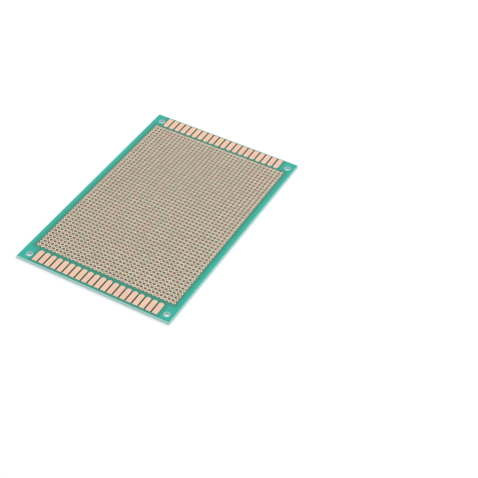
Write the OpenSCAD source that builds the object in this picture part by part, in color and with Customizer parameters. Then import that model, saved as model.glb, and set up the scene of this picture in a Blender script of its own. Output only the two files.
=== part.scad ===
// Prototype board: a drilled glass-fibre sheet with a grid of copper solder pads,
// a row of copper contact fingers at each end and green solder mask.
// The copper side faces up. Origin: centre of the underside. X runs across the
// board, Y along it, from the front row of contacts to the back row.

/* [Board] */
// Width of the board, along the rows of contacts
board_w = 100; // [60:1:140]
// Length of the board, from the front contacts to the back contacts
board_l = 150; // [80:1:200]
// Thickness of the bare laminate
laminate_t = 1.6; // [0.8:0.1:3.2]

/* [Hole grid] */
// Distance from one lead hole to the next, both ways
hole_pitch = 2.54; // [2.3:0.02:5.08]
// Least distance from a long edge of the board to the solder pads
side_margin = 4; // [2:0.1:20]
// Least distance from the contact fingers or the mounting rings to the solder pads
end_margin = 1; // [0.5:0.1:20]
// Shift of the hole grid from the board's centre towards the back
grid_shift = 1.1; // [0:0.1:1.5]
// Diameter of a lead hole
lead_hole_d = 1; // [0.6:0.05:1.3]

/* [Copper] */
// Thickness of the copper foil
copper_t = 0.035; // [0.035:0.005:0.2]
// Outer diameter of a solder pad
pad_d = 2.1; // [1.6:0.05:2.3]

/* [Contact fingers] */
// Distance from one contact finger to the next
finger_pitch = 4.14; // [3.6:0.02:8]
// Width of a contact finger
finger_w = 3; // [2:0.05:3.3]
// Length of a contact finger, its round inner end included
finger_l = 8.6; // [4:0.1:20]
// Least distance from the ring round a mounting hole to the fingers
finger_margin = 0.6; // [0.3:0.1:10]
// Distance from the front edge of the board to the front fingers
front_finger_inset = 2; // [0.6:0.1:10]
// Distance from the back edge of the board to the back fingers
back_finger_inset = 0.7; // [0.6:0.1:10]
// Sideways shift of the back row of fingers from the middle of the board
back_finger_shift = -0.75; // [-1:0.05:1]

/* [Mounting holes] */
// Diameter of a mounting hole
mounting_hole_d = 3.2; // [2.2:0.1:5]
// Distance from the left edge to the left mounting holes
left_hole_inset = 5.6; // [3:0.1:10]
// Distance from the right edge to the right mounting holes
right_hole_inset = 4.4; // [3:0.1:10]
// Distance from the front edge to the front mounting holes
front_hole_inset = 4.75; // [3:0.05:15]
// Distance from the back edge to the back mounting holes
back_hole_inset = 5.75; // [3:0.05:15]

/* [Solder mask] */
// Thickness of the solder mask film
mask_t = 0.03; // [0.02:0.005:0.1]
// Bare strip between the edge of the board and the mask
mask_setback = 0.3; // [0.1:0.05:0.5]
// Bare strip between the outer solder pads and the mask that frames them
field_mask_gap = 0.1; // [0.05:0.01:0.2]
// Bare strip between a contact finger and the mask
finger_mask_gap = 0.1; // [0.05:0.01:0.2]
// Bare ring round a mounting hole
mounting_mask_gap = 0.3; // [0.1:0.05:0.8]

/* [Hidden] */
$fn = 32;

// The laminate lies on the mask of the component side, and the copper lies on the laminate
laminate_z = mask_t;
copper_z = laminate_z + laminate_t;

// Opening in the masks round each mounting hole
mounting_opening_d = mounting_hole_d + 2 * mounting_mask_gap;

// Number of things of one width that a room takes at a pitch
function copies(room, width, pitch) = floor((room - width) / pitch) + 1;

// Stretch at each end of the board that the contact fingers and mounting rings take up
front_zone = max(front_finger_inset + finger_l, front_hole_inset + mounting_opening_d / 2);
back_zone = max(back_finger_inset + finger_l, back_hole_inset + mounting_opening_d / 2);

// As many hole columns, hole rows and contact fingers as there is room for
hole_columns = copies(board_w - 2 * side_margin, pad_d, hole_pitch);
grid_end = max(front_zone - grid_shift, back_zone + grid_shift) + end_margin;
hole_rows = copies(board_l - 2 * grid_end, pad_d, hole_pitch);
row_end = max(left_hole_inset, right_hole_inset) + mounting_opening_d / 2
    + abs(back_finger_shift) + finger_margin;
finger_count = copies(board_w - 2 * row_end, finger_w, finger_pitch);

// Windows in the masks: one over all the pads and, on the component side, one with a
// square of the grid for each lead hole
pad_window = [
    (hole_columns - 1) * hole_pitch + pad_d + 2 * field_mask_gap,
    (hole_rows - 1) * hole_pitch + pad_d + 2 * field_mask_gap
];
lead_window = [hole_columns * hole_pitch, hole_rows * hole_pitch];

// Places of the hole columns, rows and mounting holes
function column_x(i) = (i - (hole_columns - 1) / 2) * hole_pitch;
function row_y(j) = grid_shift + (j - (hole_rows - 1) / 2) * hole_pitch;
mounting_hole_x = [left_hole_inset - board_w / 2, board_w / 2 - right_hole_inset];
mounting_hole_y = [front_hole_inset - board_l / 2, board_l / 2 - back_hole_inset];

// One child at each lead hole
module at_lead_holes() {
    for (j = [0 : hole_rows - 1])
        for (i = [0 : hole_columns - 1])
            translate([column_x(i), row_y(j)]) children();
}

// One child at each mounting hole
module at_mounting_holes() {
    for (x = mounting_hole_x)
        for (y = mounting_hole_y)
            translate([x, y]) children();
}

// Outline of the board, or of a film that stops short of its edge
module sheet(setback = 0) {
    square([board_w - 2 * setback, board_l - 2 * setback], center = true);
}

// Outline of a contact finger, from its square outer end at Y = 0 to its round inner
// end, or of the wider opening round it
module finger(gap = 0) {
    w = finger_w + 2 * gap;
    straight_l = finger_l - finger_w / 2;
    translate([-w / 2, -gap]) square([w, straight_l + gap]);
    translate([0, straight_l]) circle(d = w);
}

// Outlines of a row of contact fingers about the middle of the board
module finger_row(gap = 0) {
    for (k = [0 : finger_count - 1])
        translate([(k - (finger_count - 1) / 2) * finger_pitch, 0]) finger(gap);
}

// Outlines of the fingers along the front edge
module front_fingers(gap = 0) {
    translate([0, front_finger_inset - board_l / 2]) finger_row(gap);
}

// Outlines of the fingers along the back edge
module back_fingers(gap = 0) {
    translate([back_finger_shift, board_l / 2 - back_finger_inset])
        mirror([0, 1]) finger_row(gap);
}

// Glass-fibre sheet with its lead holes and mounting holes
module laminate() {
    color([0.78, 0.85, 0.8])
        translate([0, 0, laminate_z]) linear_extrude(laminate_t) difference() {
            sheet();
            at_lead_holes() circle(d = lead_hole_d);
            at_mounting_holes() circle(d = mounting_hole_d);
        }
}

// Green film over the margins of one side, with a window over the hole grid
module margin_film(window) {
    color([0.24, 0.67, 0.59])
        linear_extrude(mask_t) difference() {
            sheet(mask_setback);
            translate([0, grid_shift]) square(window, center = true);
            at_mounting_holes() circle(d = mounting_opening_d);
            children();
        }
}

// Film on the component side, which is the underside
module component_side_mask() {
    margin_film(lead_window);
}

// Film on the copper side, open at every contact finger too
module copper_side_mask() {
    translate([0, 0, copper_z])
        margin_film(pad_window) {
            front_fingers(finger_mask_gap);
            back_fingers(finger_mask_gap);
        }
}

// Copper ring round each lead hole
module solder_pads() {
    color([0.88, 0.74, 0.62])
        translate([0, 0, copper_z]) linear_extrude(copper_t) at_lead_holes() difference() {
            circle(d = pad_d);
            circle(d = lead_hole_d);
        }
}

// Copper fingers along the front edge
module front_contacts() {
    color([0.95, 0.77, 0.66])
        translate([0, 0, copper_z]) linear_extrude(copper_t) front_fingers();
}

// Copper fingers along the back edge
module back_contacts() {
    color([0.95, 0.77, 0.66])
        translate([0, 0, copper_z]) linear_extrude(copper_t) back_fingers();
}

laminate();
component_side_mask();
copper_side_mask();
solder_pads();
front_contacts();
back_contacts();
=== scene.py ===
"""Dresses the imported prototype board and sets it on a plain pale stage.

The file is laid out as an add-on: its property groups hold the sizes and colours, each operator
makes one piece or one finish, and main() calls the operators in order. Lengths are in metres, as
in the frame, and most are written in millimetres times MM.
"""

import math

import bpy
from mathutils import Matrix, Vector


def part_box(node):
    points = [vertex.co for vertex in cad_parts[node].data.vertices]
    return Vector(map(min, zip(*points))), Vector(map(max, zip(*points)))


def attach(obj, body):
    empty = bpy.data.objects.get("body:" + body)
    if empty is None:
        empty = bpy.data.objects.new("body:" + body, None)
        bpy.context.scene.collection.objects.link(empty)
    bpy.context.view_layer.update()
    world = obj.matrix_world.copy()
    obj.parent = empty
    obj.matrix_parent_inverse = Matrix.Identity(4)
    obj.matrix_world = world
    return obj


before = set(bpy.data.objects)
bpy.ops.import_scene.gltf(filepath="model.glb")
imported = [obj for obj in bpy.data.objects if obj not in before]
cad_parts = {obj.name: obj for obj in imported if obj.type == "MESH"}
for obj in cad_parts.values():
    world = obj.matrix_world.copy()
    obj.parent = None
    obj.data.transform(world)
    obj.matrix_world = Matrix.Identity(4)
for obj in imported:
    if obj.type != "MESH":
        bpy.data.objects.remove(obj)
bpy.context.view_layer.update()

bl_info = {
    "name": "Prototype board",
    "version": (1, 0, 0),
    "blender": (4, 5, 0),
    "location": "View3D > Sidebar > Board",
    "description": "Finishes a drilled prototype board with copper pads and contact fingers",
    "category": "Object",
}

BODY = "root"
MM = 0.001

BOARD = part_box("laminate")
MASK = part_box("copper_side_mask")
UNDER_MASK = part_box("component_side_mask")
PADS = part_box("solder_pads")
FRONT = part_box("front_contacts")
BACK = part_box("back_contacts")

# Vertices nearer to each other than this are joined
MERGE_DISTANCE = 0.001 * MM
# Sides of the round openings in the films over the hole grid
OPENING_SEGMENTS = 16
# Height of a digit as a share of the size of its font
DIGIT_SHARE = 0.7

# The stage round the board
FLOOR_HALF = 3.0
FLOOR_DROP = 0.02 * MM
LAMP_PLACE = Vector((0.45, 0.55, 1.15))
LAMP_D = 0.9
NEAREST_SEEN = 0.01


def linear(red, green, blue):
    """A colour given as the 0 to 255 values of a screen, in Blender's linear values."""
    def channel(value):
        v = value / 255
        return v / 12.92 if v <= 0.04045 else ((v + 0.055) / 1.055) ** 2.4
    return (channel(red), channel(green), channel(blue))


def colour(name, description, default):
    """A colour setting."""
    return bpy.props.FloatVectorProperty(
        name=name, description=description, default=default, subtype="COLOR",
        size=3, min=0, max=1)


def length(name, description, default_mm):
    """A length setting, given in millimetres."""
    return bpy.props.FloatProperty(
        name=name, description=description, default=default_mm * MM, unit="LENGTH",
        precision=5, min=0)


def angle(name, description, default_degrees):
    """An angle setting, given in degrees."""
    return bpy.props.FloatProperty(
        name=name, description=description, default=math.radians(default_degrees),
        unit="ROTATION")


class BoardSizes(bpy.types.PropertyGroup):
    """Sizes of the pieces and finishes that the frame doesn't give."""
    columns: bpy.props.IntProperty(
        name="Hole columns", description="Lead holes across the board", default=36, min=2)
    rows: bpy.props.IntProperty(
        name="Hole rows", description="Lead holes along the board", default=50, min=2)
    fingers: bpy.props.IntProperty(
        name="Fingers", description="Contact fingers in each row", default=20, min=2)
    pad_d: length("Pad diameter", "Outer diameter of a solder pad", 2.1)
    lead_hole_d: length("Lead hole diameter", "Diameter of a lead hole", 1.0)
    finger_w: length("Finger width", "Width of a contact finger", 3.0)
    pad_gap: length("Pad gap", "Bare ring between a pad and the mask webs", 0.08)
    field_gap: length("Field gap", "Bare strip between the outer pads and the framing mask", 0.1)
    stain_w: length("Stain width", "How far from the copper the mask is dull", 3.5)
    lead_ring: length("Lead ring", "Bare ring round a lead hole on the component side", 0.15)
    line_w: length("Line width", "Width of a printed line", 0.22)
    line_gap: length("Line gap", "From a printed line to the rim of the hole it points at", 0.25)
    ink_t: length("Ink thickness", "Thickness of the printed ink", 0.01)
    first_line: bpy.props.IntProperty(
        name="First line", description="Holes from the outer printed column to the next",
        default=3, min=1)
    line_step: bpy.props.IntProperty(
        name="Line step", description="Holes from one printed line to the next",
        default=4, min=1)
    digit_h: length("Digit height", "Height of the printed coordinate numbers", 1.7)
    number_gap: length("Number gap", "From the outer holes to the middle of the numbers", 3.3)
    ply: length("Ply thickness", "Thickness of one layer of glass cloth", 0.2)


class BoardColours(bpy.types.PropertyGroup):
    """Colours of the finishes."""
    mask: colour("Mask", "Solder mask over the margins", linear(56, 184, 165))
    mask_stain: colour("Dull mask", "Solder mask beside the copper", linear(62, 148, 126))
    # Painted shade between the contact fingers, over the darker tone of the gaps
    finger_web: colour("Finger webs", "Solder mask between the fingers", linear(80, 54, 10))
    # Painted shade between the pads, over the darker tone of the webs
    pad_web: colour("Pad webs", "Solder mask between the pads", linear(72, 84, 32))
    # The same painted shade, over the tone of flux stains
    stained_web: colour("Stained webs", "The same where flux stains it", linear(104, 62, 28))
    web_neck: colour("Web necks", "Thin mask between two pads of a row", linear(144, 132, 102))
    bare: colour("Bare laminate", "Bare face of the laminate", linear(196, 238, 230))
    edge: colour("Cut edge", "Sawn edge of the laminate", linear(184, 218, 216))
    bore: colour("Drilled wall", "Wall of a drilled hole", linear(184, 142, 118))
    pad: colour("Pad copper", "Copper of the solder pads", linear(252, 244, 219))
    pad_blush: colour("Pad blush", "Copper of the redder pads", linear(255, 229, 212))
    contact: colour("Contact copper", "Copper of the contact fingers", linear(251, 212, 180))
    contact_blush: colour("Contact blush", "Redder patches of a finger", linear(253, 206, 188))
    # Paler copper for random patches, and the painted highlight along the rims of fingers and
    # pads
    contact_edge: colour("Contact rim", "Paler rim of a contact finger", linear(253, 220, 197))
    ink: colour("Ink", "Printed grid and numbers", linear(206, 236, 226))
    floor: colour("Floor", "Stage floor", linear(252, 253, 253))


class StageSettings(bpy.types.PropertyGroup):
    """Camera and light, as in the photograph."""
    azimuth: angle("Azimuth", "Camera direction round the board", 27.755)
    elevation: angle("Elevation", "Camera direction above the board", 43.784)
    roll: angle("Roll", "Turn of the camera about its own axis", 1.995)
    distance: length("Distance", "From the camera to the point it looks at", 659.54)
    look_x: length("Look at X", "Across the board from its middle", 44.30)
    look_y: length("Look at Y", "Along the board from its middle", 11.46)
    look_z: bpy.props.FloatProperty(
        name="Look at Z", description="Height of the point that the camera looks at",
        default=-10.95 * MM, unit="LENGTH", precision=5)
    focal_ratio: bpy.props.FloatProperty(
        name="Focal ratio", description="Focal length as a share of the picture's width",
        default=2.3554, min=0.1)
    sky: bpy.props.FloatProperty(
        name="Sky light", description="Strength of the even light from all round",
        default=0.92, min=0)
    lamp: bpy.props.FloatProperty(
        name="Lamp", description="Power of the soft lamp above the board",
        default=4.6, min=0, unit="POWER")
    floor_glow: bpy.props.FloatProperty(
        name="Floor glow", description="What the floor adds to its own light where it is seen",
        default=0.12, min=0)


class Shader:
    """Builds the nodes of one material."""

    def __init__(self, name):
        self.material = bpy.data.materials.new(name)
        self.material.use_nodes = True
        self.tree = self.material.node_tree
        self.tree.nodes.clear()
        self.surface = self.tree.nodes.new("ShaderNodeBsdfPrincipled")
        output = self.tree.nodes.new("ShaderNodeOutputMaterial")
        self.tree.links.new(self.surface.outputs["BSDF"], output.inputs["Surface"])
        self.place = self.tree.nodes.new("ShaderNodeTexCoord").outputs["Object"]
        self.xyz = self.tree.nodes.new("ShaderNodeSeparateXYZ")
        self.tree.links.new(self.place, self.xyz.inputs[0])

    def put(self, value, socket):
        """Links a node's output to an input, or sets the input to a number or colour."""
        if isinstance(value, bpy.types.NodeSocket):
            self.tree.links.new(value, socket)
        elif hasattr(value, "__len__"):
            given = list(value)
            wanted = len(socket.default_value)
            socket.default_value = given + [1.0] * (wanted - len(given))
        else:
            socket.default_value = value

    def math(self, operation, first, second=0.0, third=0.0):
        """A number worked out from others."""
        node = self.tree.nodes.new("ShaderNodeMath")
        node.operation = operation
        for value, socket in zip((first, second, third), node.inputs):
            self.put(value, socket)
        return node.outputs[0]

    def between(self, share, low, high):
        """A number between two others, by a share from 0 to 1."""
        return self.math("MULTIPLY_ADD", share, high - low, low)

    def average(self, first, second, weight):
        """Two numbers averaged, the second with this weight out of 1."""
        return self.math("MULTIPLY_ADD", first, 1 - weight, self.math("MULTIPLY", second, weight))

    def ramp(self, value, low, high):
        """0 where the value is at low or before, 1 at high or past it, smooth between."""
        node = self.tree.nodes.new("ShaderNodeMapRange")
        node.interpolation_type = "SMOOTHSTEP"
        self.put(value, node.inputs["Value"])
        node.inputs["From Min"].default_value = low
        node.inputs["From Max"].default_value = high
        return node.outputs["Result"]

    def mix(self, share, first, second, blend="MIX"):
        """Two colours mixed by a share."""
        node = self.tree.nodes.new("ShaderNodeMix")
        node.data_type = "RGBA"
        node.blend_type = blend
        self.put(share, node.inputs["Factor"])
        self.put(first, node.inputs["A"])
        self.put(second, node.inputs["B"])
        return node.outputs["Result"]

    def noise(self, size, detail=2.0, stretch=(1, 1, 1)):
        """Noise from 0 to 1 with features of a size in metres, stretched along the axes."""
        mapping = self.tree.nodes.new("ShaderNodeMapping")
        self.tree.links.new(self.place, mapping.inputs["Vector"])
        mapping.inputs["Scale"].default_value = [1 / (size * s) for s in stretch]
        node = self.tree.nodes.new("ShaderNodeTexNoise")
        node.inputs["Scale"].default_value = 1.0
        node.inputs["Detail"].default_value = detail
        self.tree.links.new(mapping.outputs["Vector"], node.inputs["Vector"])
        return node.outputs["Fac"]

    def cell(self, coordinate, start, pitch):
        """The number of the nearest line of a row of lines, and the distance to it."""
        steps = self.math("DIVIDE", self.math("SUBTRACT", coordinate, start), pitch)
        number = self.math("ROUND", steps)
        offset = self.math("MULTIPLY", self.math("SUBTRACT", steps, number), pitch)
        return number, offset

    def chance(self, first, second):
        """A random number from 0 to 1 for each pair of whole numbers."""
        pair = self.tree.nodes.new("ShaderNodeCombineXYZ")
        self.put(first, pair.inputs[0])
        self.put(second, pair.inputs[1])
        node = self.tree.nodes.new("ShaderNodeTexWhiteNoise")
        node.noise_dimensions = "2D"
        self.tree.links.new(pair.outputs[0], node.inputs["Vector"])
        return node.outputs["Value"]

    def varied(self, base, share, low, high):
        """A colour made darker and lighter between two factors by a number from 0 to 1."""
        if isinstance(base, bpy.types.NodeSocket):
            darker = self.mix(1.0, base, (low, low, low), "MULTIPLY")
            lighter = self.mix(1.0, base, (high, high, high), "MULTIPLY")
        else:
            darker = [c * low for c in base]
            lighter = [min(1.0, c * high) for c in base]
        return self.mix(share, darker, lighter)

    def distance_to(self, box):
        """Distance to the side of a box seen from above, under 0 inside it."""
        low, high = box
        beside = []
        for coordinate, start, end in zip(self.xyz.outputs, low.xy, high.xy):
            offset = self.math("SUBTRACT", coordinate, (start + end) / 2)
            beside.append(self.math("SUBTRACT", self.math("ABSOLUTE", offset),
                                    (end - start) / 2))
        return self.math("MAXIMUM", *beside)

    def bump(self, height, distance):
        """A relief from a height of 0 to 1, as deep as a distance in metres."""
        node = self.tree.nodes.new("ShaderNodeBump")
        node.inputs["Distance"].default_value = distance
        self.put(height, node.inputs["Height"])
        self.put(node.outputs["Normal"], self.surface.inputs["Normal"])

    def finish(self, base, roughness, metallic=0.0, specular=0.3):
        """Sets the surface's colour and gloss, and returns the material."""
        self.put(base, self.surface.inputs["Base Color"])
        self.put(roughness, self.surface.inputs["Roughness"])
        self.surface.inputs["Metallic"].default_value = metallic
        self.surface.inputs["Specular IOR Level"].default_value = specular
        return self.material


def hole_pitch(sizes):
    """Distance from one lead hole to the next, from the box of the pads."""
    return (PADS[1].x - PADS[0].x - sizes.pad_d) / (sizes.columns - 1)


def hole_grid(sizes):
    """Place of the first lead hole, and the pitch."""
    low = PADS[0]
    first = Vector((low.x + sizes.pad_d / 2, low.y + sizes.pad_d / 2))
    return first, hole_pitch(sizes)


def finger_pitch(row, sizes):
    """Distance from one contact finger to the next, from the box of their row."""
    return (row[1].x - row[0].x - sizes.finger_w) / (sizes.fingers - 1)


def mask_relief(shader):
    """The fine unevenness of a printed mask."""
    shader.bump(shader.noise(0.5 * MM), 0.004 * MM)


def between_fingers(shader, row, sizes):
    """1 between the straight parts of a row of contact fingers, 0 beyond the row."""
    x, y, _ = shader.xyz.outputs
    low, high = row
    fade = 0.35 * MM
    round_end = sizes.finger_w / 2
    if high.y > 0:
        start, end = low.y + round_end, high.y
    else:
        start, end = low.y, high.y - round_end
    along = shader.math("MULTIPLY", shader.ramp(y, start - fade, start + fade),
                        shader.ramp(y, end + fade, end - fade))
    across = shader.math("MULTIPLY", shader.ramp(x, low.x, low.x + fade),
                         shader.ramp(x, high.x, high.x - fade))
    return shader.math("MULTIPLY", along, across)


def mask_material(name, sizes, colours, copper=(), finger_rows=()):
    """Semi-gloss solder mask, duller beside the copper, with painted shade between contact
    fingers over the gaps' darker tone.
    """
    shader = Shader(name)
    drift = shader.noise(45 * MM, detail=1.0)
    speckle = shader.noise(0.9 * MM, detail=3.0)
    painted = shader.varied(colours.mask, drift, 0.94, 1.06)
    for box in copper:
        stained = shader.ramp(shader.distance_to(box), sizes.stain_w, 0.0)
        painted = shader.mix(stained, painted, colours.mask_stain)
    painted = shader.varied(painted, speckle, 0.93, 1.07)
    for row in finger_rows:
        # Painted shade between the straight parts of the fingers, over the gaps' darker tone
        painted = shader.mix(between_fingers(shader, row, sizes), painted, colours.finger_web)
    mask_relief(shader)
    return shader.finish(painted, shader.between(shader.noise(6 * MM), 0.3, 0.4))


def web_material(sizes, colours):
    """Solder mask of the small webs between four pads each, darkened by painted shade over their
    own tone, some of them stained by flux.
    """
    shader = Shader("mask_webs")
    x, y, _ = shader.xyz.outputs
    first, pitch = hole_grid(sizes)
    column, dx = shader.cell(x, first.x + pitch / 2, pitch)
    row, dy = shader.cell(y, first.y + pitch / 2, pitch)
    speckle = shader.noise(0.9 * MM, detail=3.0)
    # Painted shade over the webs' own tone; the chance picks the webs stained by flux
    painted = shader.mix(shader.chance(column, row), colours.pad_web, colours.stained_web)
    painted = shader.varied(painted, speckle, 0.9, 1.1)

    neck_start, neck_end = 0.2 * pitch, 0.38 * pitch
    between_columns = shader.ramp(shader.math("ABSOLUTE", dy), neck_start, neck_end)
    between_rows = shader.ramp(shader.math("ABSOLUTE", dx), neck_start, neck_end)
    faint = shader.math("MULTIPLY", between_rows, 0.2)
    neck = shader.math("MAXIMUM", between_columns, faint)
    painted = shader.mix(neck, painted, colours.web_neck)
    mask_relief(shader)
    return shader.finish(painted, 0.4)


def laminate_material(sizes, colours):
    """Glass-fibre sheet: bare on its faces, cut on its edges, scorched in its lead holes."""
    shader = Shader("glass_fibre_laminate")
    x, y, z = shader.xyz.outputs
    cloth = shader.noise(0.6 * MM, stretch=(3, 1, 1))
    bare = shader.varied(colours.bare, cloth, 0.94, 1.05)

    plies = shader.math("SINE", shader.math("MULTIPLY", z, 2 * math.pi / sizes.ply))
    streaks = shader.noise(0.5 * MM, detail=3.0, stretch=(4, 4, 0.3))
    cut = shader.varied(colours.edge, shader.average(plies, streaks, 0.8), 0.88, 1.1)

    first, pitch = hole_grid(sizes)
    column, _ = shader.cell(x, first.x, pitch)
    row, _ = shader.cell(y, first.y, pitch)
    scorch = shader.average(shader.chance(column, row), streaks, 0.4)
    drilled = shader.varied(colours.bore, scorch, 0.8, 1.15)
    in_grid = shader.math("LESS_THAN", shader.distance_to(PADS), 0.0)
    wall = shader.mix(in_grid, cut, drilled)

    normal = shader.tree.nodes.new("ShaderNodeSeparateXYZ")
    geometry = shader.tree.nodes.new("ShaderNodeNewGeometry")
    shader.put(geometry.outputs["True Normal"], normal.inputs[0])
    level = shader.math("GREATER_THAN", shader.math("ABSOLUTE", normal.outputs[2]), 0.5)
    shader.bump(streaks, 0.01 * MM)
    return shader.finish(shader.mix(level, wall, bare), shader.between(cloth, 0.45, 0.65))


def pad_material(sizes, colours):
    """Satin copper of the solder pads, each pad a little different from the next, with a painted
    highlight along the rim and painted shade next to the hole.
    """
    shader = Shader("pad_copper")
    x, y, _ = shader.xyz.outputs
    first, pitch = hole_grid(sizes)
    column, dx = shader.cell(x, first.x, pitch)
    row, dy = shader.cell(y, first.y, pitch)
    radius = shader.math("SQRT", shader.math(
        "ADD", shader.math("MULTIPLY", dx, dx), shader.math("MULTIPLY", dy, dy)))
    tint = shader.mix(shader.chance(row, column), colours.pad, colours.pad_blush)
    each = shader.varied(tint, shader.chance(column, row), 0.93, 1.06)
    stained = shader.varied(each, shader.noise(0.35 * MM, detail=3.0), 0.95, 1.05)

    pad_r, hole_r = sizes.pad_d / 2, sizes.lead_hole_d / 2
    # Painted highlight along the pad's outer rim
    rim = shader.ramp(radius, pad_r - 0.15 * MM, pad_r)
    # Painted shade on the copper next to the lead hole, in the drilled wall's colour
    hole_rim_shade = shader.ramp(radius, hole_r + 0.12 * MM, hole_r)
    shaded = shader.mix(shader.math("MULTIPLY", rim, 0.3), stained, colours.contact_edge)
    shaded = shader.mix(shader.math("MULTIPLY", hole_rim_shade, 0.35), shaded, colours.bore)
    gloss = shader.between(shader.noise(0.8 * MM), 0.35, 0.55)
    shader.bump(shader.noise(0.12 * MM), 0.003 * MM)
    return shader.finish(shaded, gloss, metallic=0.35)


def contact_material(name, row, sizes, colours):
    """Satin copper of a row of contact fingers, with random paler patches and a painted highlight
    along each finger's rim.
    """
    patch_seed, shade_seed = 7.0, 3.0
    shader = Shader(name)
    x = shader.xyz.outputs[0]
    half = sizes.finger_w / 2
    number, dx = shader.cell(x, row[0].x + half, finger_pitch(row, sizes))
    grain = shader.noise(0.25 * MM, detail=3.0, stretch=(1, 14, 1))
    cloud = shader.ramp(shader.noise(2.4 * MM, stretch=(1, 2, 1)), 0.45, 0.75)
    blotch = shader.noise(3.2 * MM, detail=1.0, stretch=(1, 1.5, 1))

    redness = shader.math("MULTIPLY_ADD", shader.chance(number, patch_seed), 0.3, blotch)
    blush = shader.ramp(redness, 0.4, 0.9)
    reddened = shader.mix(blush, colours.contact, colours.contact_blush)
    each = shader.varied(reddened, shader.chance(number, shade_seed), 0.97, 1.03)
    brushed = shader.varied(each, grain, 0.96, 1.04)
    clouded = shader.mix(shader.math("MULTIPLY", cloud, 0.35), brushed, colours.contact_edge)
    # Painted highlight along each finger's rim
    rim = shader.ramp(shader.math("ABSOLUTE", dx), half - 0.5 * MM, half)
    shaded = shader.mix(shader.math("MULTIPLY", rim, 0.8), clouded, colours.contact_edge)
    shader.bump(grain, 0.002 * MM)
    return shader.finish(shaded, shader.between(grain, 0.35, 0.5), metallic=0.35)


def ink_material(colours):
    """Matte printed ink, a little uneven."""
    shader = Shader("printed_ink")
    uneven = shader.noise(0.4 * MM, detail=3.0)
    painted = shader.varied(colours.ink, uneven, 0.9, 1.05)
    shader.bump(uneven, 0.004 * MM)
    return shader.finish(painted, 0.7)


def seen_directly(tree):
    """1 for the camera and for what a gloss or a clear body shows of the surroundings."""
    path = tree.nodes.new("ShaderNodeLightPath")
    seen = path.outputs["Is Camera Ray"]
    for name in ("Is Glossy Ray", "Is Transmission Ray"):
        either = tree.nodes.new("ShaderNodeMath")
        either.operation = "MAXIMUM"
        tree.links.new(seen, either.inputs[0])
        tree.links.new(path.outputs[name], either.inputs[1])
        seen = either.outputs[0]
    return seen


def floor_material(colours, glow):
    """Matt pale floor, a little brighter to the eye than the light on it makes it."""
    shader = Shader("floor")
    shader.surface.inputs["Emission Color"].default_value = (1, 1, 1, 1)
    strength = shader.math("MULTIPLY", seen_directly(shader.tree), glow)
    shader.put(strength, shader.surface.inputs["Emission Strength"])
    return shader.finish(colours.floor, 0.9, specular=0.0)


def give(node, material):
    """Gives a CAD node its material, and joins its loose triangles into closed shells."""
    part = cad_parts[node]
    part.data.materials.clear()
    part.data.materials.append(material)
    part.modifiers.new("joined_triangles", "WELD").merge_threshold = MERGE_DISTANCE


def new_object(name, data):
    """A new object in the scene."""
    item = bpy.data.objects.new(name, data)
    bpy.context.scene.collection.objects.link(item)
    return item


def add_piece(name, mesh):
    """Adds a new piece of the object, which rides on the board."""
    piece = new_object(name, mesh)
    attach(piece, BODY)


def plain_mesh(carrier):
    """The mesh that an object comes out as. The object is removed."""
    graph = bpy.context.evaluated_depsgraph_get()
    mesh = bpy.data.meshes.new_from_object(carrier.evaluated_get(graph))
    carrier.modifiers.clear()
    bpy.data.objects.remove(carrier)
    return mesh


class NodeTree:
    """Builds a geometry node tree with named inputs."""

    def __init__(self, name, sizes):
        self.tree = bpy.data.node_groups.new(name, "GeometryNodeTree")
        self.values = {}
        interface = self.tree.interface
        for label, kind, value in sizes:
            item = interface.new_socket(label, in_out="INPUT", socket_type=kind)
            self.values[item.identifier] = value
        interface.new_socket("Geometry", in_out="OUTPUT", socket_type="NodeSocketGeometry")
        self.inputs = self.add("NodeGroupInput").outputs
        self.output = self.add("NodeGroupOutput").inputs["Geometry"]

    def put(self, value, socket):
        """Links a node's output to an input, or sets the input to a value."""
        if isinstance(value, bpy.types.NodeSocket):
            self.tree.links.new(value, socket)
        else:
            socket.default_value = value

    def add(self, kind, inputs=(), **settings):
        """A node with these settings and these (name or number, value) inputs."""
        node = self.tree.nodes.new(kind)
        for name, value in settings.items():
            setattr(node, name, value)
        for name, value in inputs:
            self.put(value, node.inputs[name])
        return node

    def math(self, operation, first, second=0.0):
        """A number worked out from one or two others."""
        inputs = enumerate((first, second))
        return self.add("ShaderNodeMath", inputs, operation=operation).outputs[0]

    def vector(self, operation, first, second=(0, 0, 0)):
        """A vector worked out from one or two others."""
        inputs = enumerate((first, second))
        return self.add("ShaderNodeVectorMath", inputs, operation=operation).outputs["Vector"]

    def grid(self, size_x, size_y, across, along):
        """A flat grid of points about the origin."""
        return self.add("GeometryNodeMeshGrid", (
            ("Size X", size_x), ("Size Y", size_y),
            ("Vertices X", across), ("Vertices Y", along))).outputs["Mesh"]

    def spans(self):
        """One less than the hole columns and rows, and how far apart the outer ones are."""
        less = [self.math("SUBTRACT", self.inputs[name], 1) for name in ("Columns", "Rows")]
        return less, [self.math("MULTIPLY", number, self.inputs["Pitch"]) for number in less]

    def realized(self, geometry):
        """Instances made real."""
        return self.add("GeometryNodeRealizeInstances", (("Geometry", geometry),)).outputs[0]

    def merged(self, geometry):
        """The geometry with vertices that meet joined."""
        return self.add("GeometryNodeMergeByDistance", (
            ("Geometry", geometry), ("Distance", MERGE_DISTANCE))).outputs[0]

    def finish(self, geometry, material):
        """Paints the geometry and makes it the tree's result."""
        painted = self.add("GeometryNodeSetMaterial", (
            ("Geometry", geometry), ("Material", material)))
        self.put(painted.outputs[0], self.output)
        return self

    def mesh(self, name):
        """Runs the tree and returns its result as a plain mesh."""
        carrier = new_object(name, bpy.data.meshes.new(name))
        modifier = carrier.modifiers.new(name, "NODES")
        modifier.node_group = self.tree
        for identifier, value in self.values.items():
            modifier[identifier] = value
        return plain_mesh(carrier)


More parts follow.
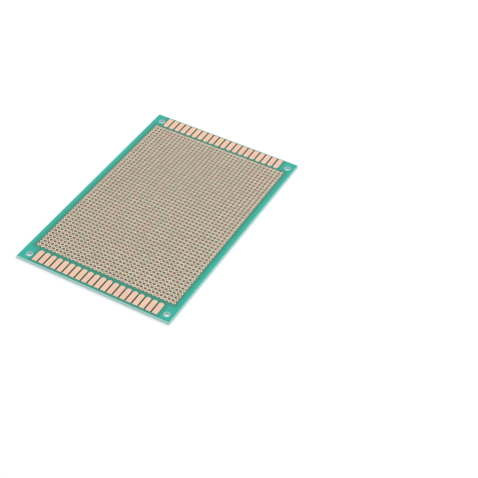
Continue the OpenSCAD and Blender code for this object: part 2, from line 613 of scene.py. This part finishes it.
def opening_cell(build, position):
    """One square of the hole grid with its round opening, flat and about the origin.

    A second ring of points on the opening's rim is moved straight out onto the square.
    """
    circle = build.add("GeometryNodeMeshCircle", (
        ("Vertices", OPENING_SEGMENTS), ("Radius", build.inputs["Opening radius"])),
        fill_type="NONE")
    collar = build.add("GeometryNodeExtrudeMesh", (
        ("Mesh", circle.outputs["Mesh"]), ("Offset Scale", 0.0)), mode="EDGES")
    away = build.add("ShaderNodeSeparateXYZ", ((0, build.vector("ABSOLUTE", position)),))
    farther = build.math("MAXIMUM", away.outputs[0], away.outputs[1])
    half_pitch = build.math("MULTIPLY", build.inputs["Pitch"], 0.5)
    outward = build.add("ShaderNodeVectorMath", (
        (0, position), ("Scale", build.math("DIVIDE", half_pitch, farther))),
        operation="SCALE")
    return build.add("GeometryNodeSetPosition", (
        ("Geometry", collar.outputs["Mesh"]), ("Selection", collar.outputs["Top"]),
        ("Position", outward.outputs["Vector"]))).outputs["Geometry"]


def closed_film(build, face):
    """A flat face raised by the film's thickness into a closed film."""
    up = build.add("ShaderNodeCombineXYZ", ((2, 1.0),))
    raised = build.add("GeometryNodeExtrudeMesh", (
        ("Mesh", face), ("Offset", up.outputs[0]),
        ("Offset Scale", build.inputs["Film thickness"]), ("Individual", False)),
        mode="FACES")
    under = build.add("GeometryNodeFlipFaces", (("Mesh", face),))
    both = build.add("GeometryNodeJoinGeometry", (
        (0, raised.outputs["Mesh"]), (0, under.outputs[0])))
    return build.merged(both.outputs[0])


def web_tree(name, sizes, material, film, opening_r, margin):
    """The mask film inside the window of a face: a square with a round opening per lead hole.

    The window ends a margin past the middle of the outer holes.
    """
    middle = (PADS[0] + PADS[1]) / 2
    reach = (PADS[1] - PADS[0]) / 2 - Vector((1, 1, 0)) * (sizes.pad_d / 2 - margin)
    build = NodeTree(name, (
        ("Columns", "NodeSocketInt", sizes.columns),
        ("Rows", "NodeSocketInt", sizes.rows),
        ("Pitch", "NodeSocketFloat", hole_pitch(sizes)),
        ("Opening radius", "NodeSocketFloat", opening_r),
        ("Film thickness", "NodeSocketFloat", film[1].z - film[0].z),
        ("Middle", "NodeSocketVector", (middle.x, middle.y, film[0].z)),
        # A metre below and above, so the window clips nothing in height
        ("Window low", "NodeSocketVector", (middle.x - reach.x, middle.y - reach.y, -1)),
        ("Window high", "NodeSocketVector", (middle.x + reach.x, middle.y + reach.y, 1)),
    ))
    given = build.inputs
    position = build.add("GeometryNodeInputPosition").outputs[0]
    _, (span_x, span_y) = build.spans()
    copies = build.add("GeometryNodeInstanceOnPoints", (
        ("Points", build.grid(span_x, span_y, given["Columns"], given["Rows"])),
        ("Instance", opening_cell(build, position))))
    joined = build.merged(build.realized(copies.outputs[0]))

    moved = build.vector("ADD", position, given["Middle"])
    clipped = build.vector("MAXIMUM", moved, given["Window low"])
    clipped = build.vector("MINIMUM", clipped, given["Window high"])
    placed = build.add("GeometryNodeSetPosition", (
        ("Geometry", joined), ("Position", clipped)))
    return build.finish(closed_film(build, placed.outputs[0]), material)


def dash_tree(sizes, material):
    """The printed grid: a dash between each two holes of every marked column and row."""
    pitch = hole_pitch(sizes)
    middle = (PADS[0] + PADS[1]) / 2
    build = NodeTree("printed_dashes", (
        ("Columns", "NodeSocketInt", sizes.columns),
        ("Rows", "NodeSocketInt", sizes.rows),
        ("Pitch", "NodeSocketFloat", pitch),
        ("First line", "NodeSocketInt", sizes.first_line),
        ("Line step", "NodeSocketInt", sizes.line_step),
        ("Line width", "NodeSocketFloat", sizes.line_w),
        ("Dash length", "NodeSocketFloat", pitch - sizes.lead_hole_d - 2 * sizes.line_gap),
        ("Ink thickness", "NodeSocketFloat", sizes.ink_t),
        ("Middle", "NodeSocketVector", (middle.x, middle.y, ink_level(sizes))),
    ))
    given = build.inputs
    (columns_less, rows_less), (span_x, span_y) = build.spans()

    def steps_from_far_side(span, coordinate):
        distance = build.math("SUBTRACT", build.math("MULTIPLY", span, 0.5), coordinate)
        return build.math("ROUND", build.math("DIVIDE", distance, given["Pitch"]))

    def on_a_line(number, start):
        shifted = build.math("SUBTRACT", number, start)
        left = build.math("FLOORED_MODULO", shifted, given["Line step"])
        return build.math("LESS_THAN", left, 0.5)

    position = build.add("GeometryNodeInputPosition").outputs[0]
    where = build.add("ShaderNodeSeparateXYZ", ((0, position),))
    column = steps_from_far_side(span_x, where.outputs[0])
    row = steps_from_far_side(span_y, where.outputs[1])
    outer_column = build.math("LESS_THAN", column, 0.5)
    last_row = build.math("GREATER_THAN", row, build.math("SUBTRACT", rows_less, 0.5))
    marked_column = build.math("MAXIMUM", outer_column, on_a_line(column, given["First line"]))
    marked_row = build.math("MAXIMUM", last_row, on_a_line(row, 0.0))

    inner_x = build.math("SUBTRACT", span_x, given["Pitch"])
    inner_y = build.math("SUBTRACT", span_y, given["Pitch"])
    runs = (
        (build.grid(span_x, inner_y, given["Columns"], rows_less), marked_column,
         given["Line width"], given["Dash length"]),
        (build.grid(inner_x, span_y, columns_less, given["Rows"]), marked_row,
         given["Dash length"], given["Line width"]),
    )
    parts = build.add("GeometryNodeJoinGeometry")
    for points, marked, size_x, size_y in runs:
        size = build.add("ShaderNodeCombineXYZ", (
            (0, size_x), (1, size_y), (2, given["Ink thickness"])))
        dash = build.add("GeometryNodeMeshCube", (("Size", size.outputs[0]),))
        copies = build.add("GeometryNodeInstanceOnPoints", (
            ("Points", points), ("Selection", marked), ("Instance", dash.outputs["Mesh"])))
        build.put(copies.outputs[0], parts.inputs[0])
    placed = build.add("GeometryNodeSetPosition", (
        ("Geometry", build.realized(parts.outputs[0])), ("Offset", given["Middle"])))
    return build.finish(placed.outputs[0], material)


def ink_level(sizes):
    """Height of the middle of the ink, which is printed on the underside."""
    return UNDER_MASK[0].z - sizes.ink_t / 2


def number_mesh(text, height, thickness):
    """One printed number as a plain mesh, its middle at the origin, its face up."""
    curve = bpy.data.curves.new(text, "FONT")
    curve.body = text
    curve.size = height / DIGIT_SHARE
    curve.resolution_u = 2
    curve.extrude = thickness / 2
    curve.align_x = "CENTER"
    mesh = plain_mesh(new_object(text, curve))
    heights = [v.co.y for v in mesh.vertices]
    mesh.transform(Matrix.Translation((0, -(min(heights) + max(heights)) / 2, 0)))
    return mesh


def joined_mesh(name, meshes, material):
    """Several meshes as one."""
    vertices, faces = [], []
    for mesh in meshes:
        start = len(vertices)
        vertices += [v.co.copy() for v in mesh.vertices]
        faces += [[start + i for i in p.vertices] for p in mesh.polygons]
    joined = bpy.data.meshes.new(name)
    joined.from_pydata(vertices, [], faces)
    joined.materials.append(material)
    joined.update()
    return joined


def settings():
    """The sizes, colours and stage values in use."""
    scene = bpy.context.scene
    return scene.board_sizes, scene.board_colours, scene.board_stage


class BOARD_OT_laminate(bpy.types.Operator):
    """Finish the glass-fibre sheet: bare faces, cut edges, drilled walls"""
    bl_idname = "board.laminate"
    bl_label = "Laminate"

    def execute(self, context):
        sizes, colours, _ = settings()
        give("laminate", laminate_material(sizes, colours))
        return {"FINISHED"}


class BOARD_OT_mask(bpy.types.Operator):
    """Finish both mask films and lay their webs between the pads and the lead holes"""
    bl_idname = "board.mask"
    bl_label = "Solder mask"

    def execute(self, context):
        sizes, colours, _ = settings()
        rows = (FRONT, BACK)
        over = mask_material("mask_margins", sizes, colours, rows + (PADS,), rows)
        give("copper_side_mask", over)
        self.add_webs("pad_field_webs", sizes, web_material(sizes, colours), MASK,
                      sizes.pad_d / 2 + sizes.pad_gap, sizes.pad_d / 2 + sizes.field_gap)

        under = mask_material("component_mask", sizes, colours)
        give("component_side_mask", under)
        self.add_webs("component_field_film", sizes, under, UNDER_MASK,
                      sizes.lead_hole_d / 2 + sizes.lead_ring, hole_pitch(sizes) / 2)
        return {"FINISHED"}

    def add_webs(self, name, sizes, material, film, opening_r, margin):
        """Adds the part of a film that lies over the hole grid."""
        tree = web_tree(name, sizes, material, film, opening_r, margin)
        add_piece(name, tree.mesh(name))


class BOARD_OT_pads(bpy.types.Operator):
    """Finish the copper of the solder pads"""
    bl_idname = "board.pads"
    bl_label = "Solder pads"

    def execute(self, context):
        sizes, colours, _ = settings()
        give("solder_pads", pad_material(sizes, colours))
        return {"FINISHED"}


class BOARD_OT_contacts(bpy.types.Operator):
    """Finish the copper of both rows of contact fingers"""
    bl_idname = "board.contacts"
    bl_label = "Contact fingers"

    def execute(self, context):
        sizes, colours, _ = settings()
        give("front_contacts", contact_material("front_contact_copper", FRONT, sizes, colours))
        give("back_contacts", contact_material("back_contact_copper", BACK, sizes, colours))
        return {"FINISHED"}


class BOARD_OT_legend(bpy.types.Operator):
    """Print the grid and the plain coordinate numbers on the component side"""
    bl_idname = "board.legend"
    bl_label = "Printed grid and numbers"

    def execute(self, context):
        sizes, colours, _ = settings()
        ink = ink_material(colours)
        add_piece("printed_grid", dash_tree(sizes, ink).mesh("printed_grid"))

        first, pitch = hole_grid(sizes)
        last_x = first.x + (sizes.columns - 1) * pitch
        face_down = Matrix.Rotation(math.pi, 4, "Y")
        sideways = Matrix.Rotation(math.pi / 2, 4, "Z")
        self.add_numbers("column_numbers", sizes, ink, face_down @ sideways, [
            (last_x - i * pitch, first.y - sizes.number_gap) for i in range(sizes.columns)])
        self.add_numbers("row_numbers", sizes, ink, face_down, [
            (first.x - sizes.number_gap, first.y + j * pitch) for j in range(sizes.rows)])
        return {"FINISHED"}

    def add_numbers(self, name, sizes, ink, turn, places):
        """Adds the numbers from 1 up as one piece, each turned and set at its place."""
        meshes = []
        for number, (x, y) in enumerate(places, 1):
            mesh = number_mesh(str(number), sizes.digit_h, sizes.ink_t)
            mesh.transform(Matrix.Translation((x, y, ink_level(sizes))) @ turn)
            meshes.append(mesh)
        add_piece(name, joined_mesh(name, meshes, ink))


class BOARD_OT_stage(bpy.types.Operator):
    """Set the floor, the light and the camera of the photograph"""
    bl_idname = "board.stage"
    bl_label = "Stage"

    def execute(self, context):
        _, colours, stage = settings()
        self.add_floor(colours, stage)
        self.add_sky(context, stage)
        self.add_lamp(stage)
        self.add_camera(context, stage)
        context.scene.view_settings.view_transform = "Standard"
        return {"FINISHED"}

    def add_floor(self, colours, stage):
        """Lays the floor just under the ink of the underside."""
        half = FLOOR_HALF
        mesh = bpy.data.meshes.new("floor")
        corners = [(-half, -half, 0), (half, -half, 0), (half, half, 0), (-half, half, 0)]
        mesh.from_pydata(corners, [], [(0, 1, 2, 3)])
        mesh.materials.append(floor_material(colours, stage.floor_glow))
        floor = new_object("floor", mesh)
        floor.location.z = UNDER_MASK[0].z - FLOOR_DROP

    def add_sky(self, context, stage):
        """Sets the even light from all round, which is plain white where it is seen."""
        world = bpy.data.worlds.new("studio")
        context.scene.world = world
        world.use_nodes = True
        nodes, links = world.node_tree.nodes, world.node_tree.links
        nodes.clear()
        strength = nodes.new("ShaderNodeMapRange")
        links.new(seen_directly(world.node_tree), strength.inputs["Value"])
        strength.inputs["To Min"].default_value = stage.sky
        strength.inputs["To Max"].default_value = 1.0
        background = nodes.new("ShaderNodeBackground")
        links.new(strength.outputs["Result"], background.inputs["Strength"])
        output = nodes.new("ShaderNodeOutputWorld")
        links.new(background.outputs[0], output.inputs["Surface"])

    def add_lamp(self, stage):
        """Hangs the soft lamp, aimed at the frame's origin, the middle of the underside."""
        light = bpy.data.lights.new("soft_lamp", "AREA")
        light.shape = "DISK"
        light.size = LAMP_D
        light.energy = stage.lamp
        lamp = new_object("soft_lamp", light)
        lamp.location = LAMP_PLACE
        lamp.rotation_euler = (-LAMP_PLACE).to_track_quat("-Z", "Y").to_euler()

    def add_camera(self, context, stage):
        """Sets the camera at the photograph's distance, direction and roll."""
        a, e, r = stage.azimuth, stage.elevation, stage.roll
        back = Vector((math.sin(a) * math.cos(e), -math.cos(a) * math.cos(e), math.sin(e)))
        level = Vector((math.cos(a), math.sin(a), 0))
        steep = back.cross(level)
        right = math.cos(r) * level + math.sin(r) * steep
        up = back.cross(right)
        middle = (BOARD[0] + BOARD[1]) / 2
        target = Vector((middle.x + stage.look_x, middle.y + stage.look_y, stage.look_z))
        place = Matrix.Translation(target + back * stage.distance)
        turn = Matrix((right, up, back)).transposed().to_4x4()
        data = bpy.data.cameras.new("camera")
        data.lens = data.sensor_width * stage.focal_ratio
        data.clip_start = NEAREST_SEEN
        camera = new_object("camera", data)
        camera.matrix_world = place @ turn
        context.scene.camera = camera


class BOARD_PT_panel(bpy.types.Panel):
    """Lists the steps that make the board"""
    bl_label = "Prototype board"
    bl_idname = "BOARD_PT_panel"
    bl_space_type = "VIEW_3D"
    bl_region_type = "UI"
    bl_category = "Board"

    def draw(self, context):
        for operator in OPERATORS:
            self.layout.operator(operator.bl_idname)
        for group in settings():
            box = self.layout.box()
            for name in group.__annotations__:
                box.prop(group, name)


OPERATORS = (BOARD_OT_laminate, BOARD_OT_mask, BOARD_OT_pads, BOARD_OT_contacts,
             BOARD_OT_legend, BOARD_OT_stage)
CLASSES = (BoardSizes, BoardColours, StageSettings) + OPERATORS + (BOARD_PT_panel,)


def register():
    for item in CLASSES:
        bpy.utils.register_class(item)
    bpy.types.Scene.board_sizes = bpy.props.PointerProperty(type=BoardSizes)
    bpy.types.Scene.board_colours = bpy.props.PointerProperty(type=BoardColours)
    bpy.types.Scene.board_stage = bpy.props.PointerProperty(type=StageSettings)


def unregister():
    del bpy.types.Scene.board_stage
    del bpy.types.Scene.board_colours
    del bpy.types.Scene.board_sizes
    for item in reversed(CLASSES):
        bpy.utils.unregister_class(item)


def main():
    """Makes every piece in order."""
    register()
    bpy.ops.board.laminate()
    bpy.ops.board.mask()
    bpy.ops.board.pads()
    bpy.ops.board.contacts()
    bpy.ops.board.legend()
    bpy.ops.board.stage()


if __name__ == "__main__":
    main()
